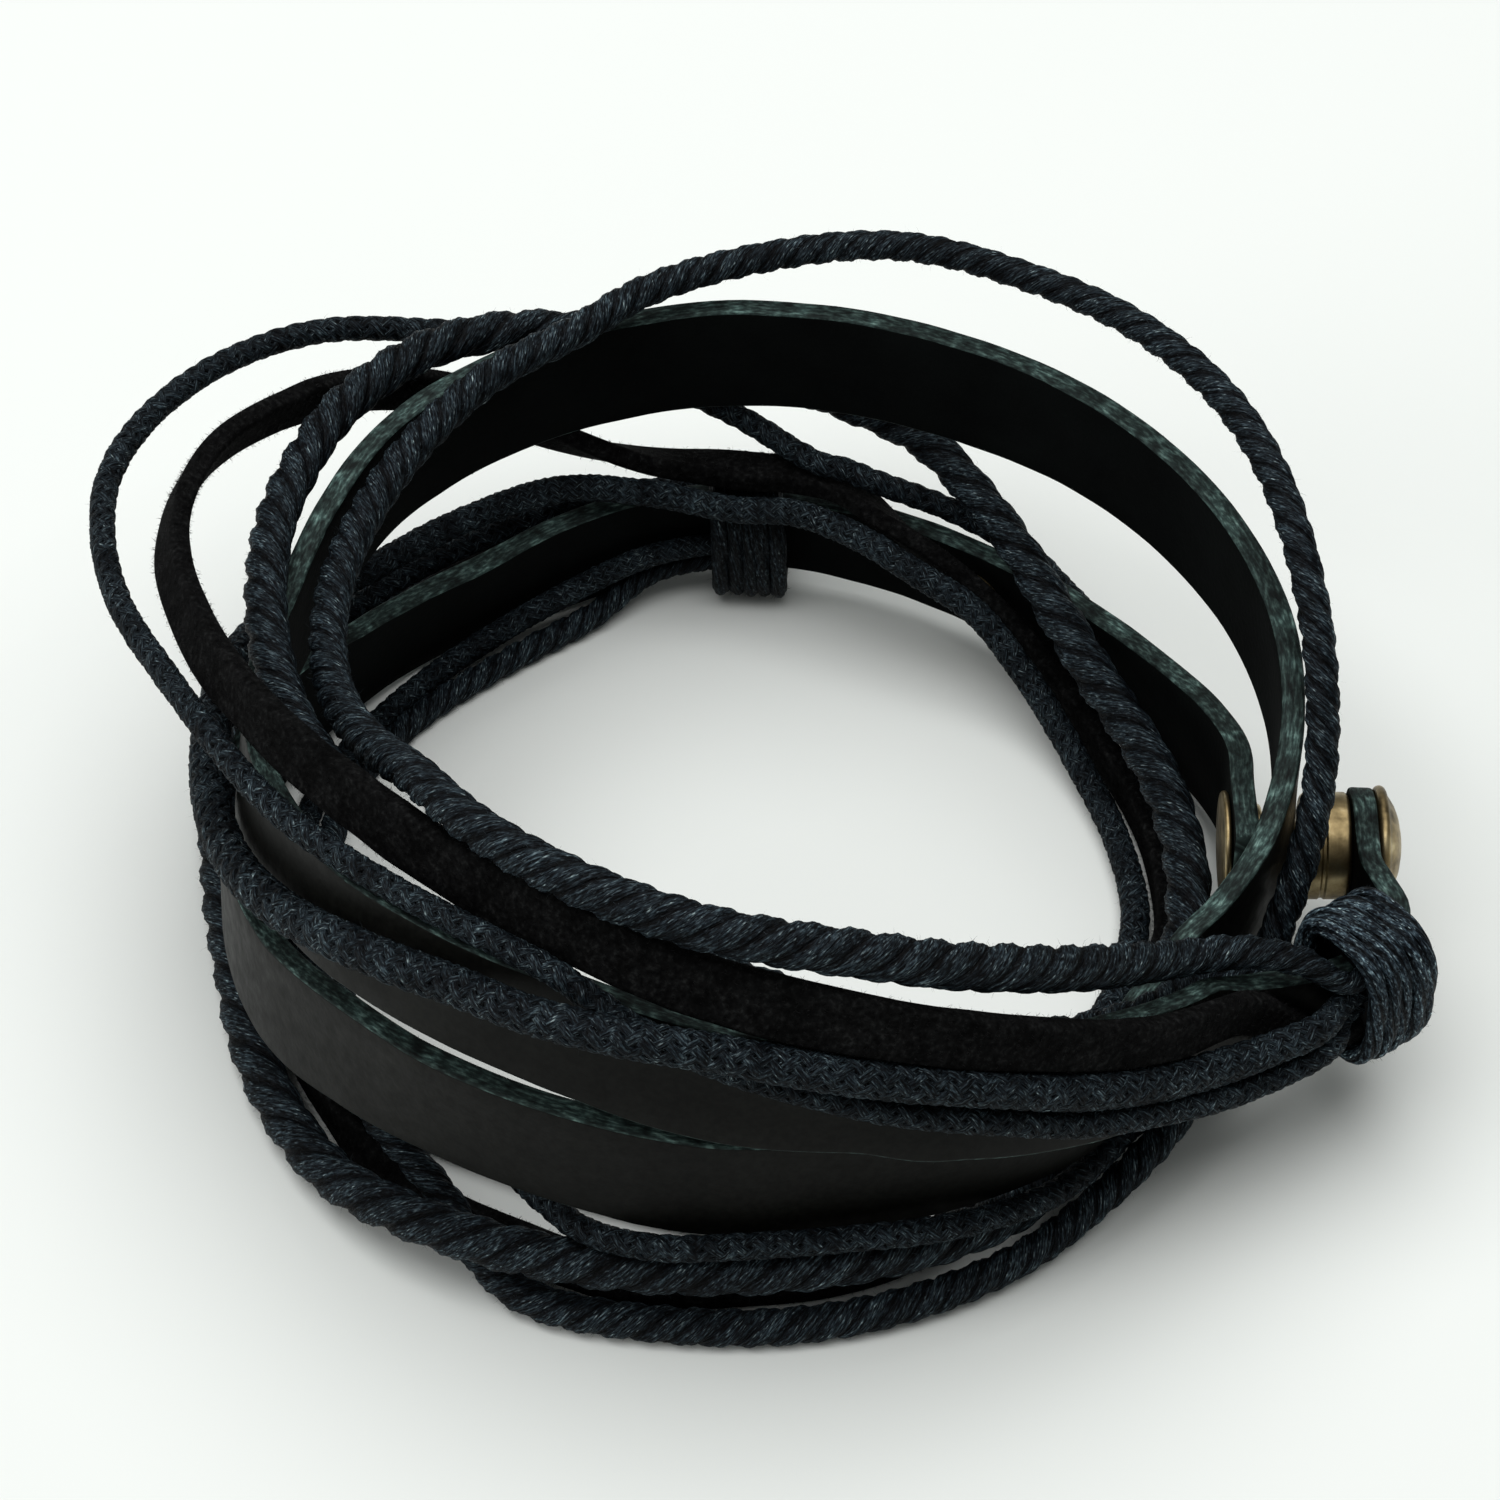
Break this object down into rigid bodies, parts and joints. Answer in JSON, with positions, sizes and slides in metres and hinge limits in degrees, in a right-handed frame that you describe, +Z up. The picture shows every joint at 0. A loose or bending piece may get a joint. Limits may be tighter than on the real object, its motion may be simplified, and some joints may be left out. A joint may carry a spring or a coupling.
{
  "type": "layered wrap bracelet",
  "caption": "Layered double-wrap bracelet of flat leather, suede lace and waxed cords, gathered by wrapped knots and closed by a snap.",
  "frame": {"origin": "middle of the outline, on the table it lies on", "axes": "+Z up through the wrist opening, +X towards the snap, -Y towards the front of the pictured view"},
  "size_m": [0.1008, 0.0863, 0.0414],
  "materials": {
    "strap_leather": "smooth, slightly waxed",
    "suede": "matte napped suede",
    "waxed_cord": "waxed, twisted or braided fibre",
    "bronze": "antique, satin"
  },
  "bodies": {
    "root": {"leather_strap": "strap_leather", "suede_lace": "suede", "slim_twisted_cord": "waxed_cord", "thick_twisted_cord": "waxed_cord", "braided_cord": "waxed_cord", "thin_cord": "waxed_cord", "clasp_knot": "waxed_cord", "inner_knot": "waxed_cord", "outer_tab": "strap_leather", "inner_tab": "strap_leather", "snap_cap": "bronze", "snap_stud": "bronze", "spare_stud": "bronze"}
  },
  "joints": []
}
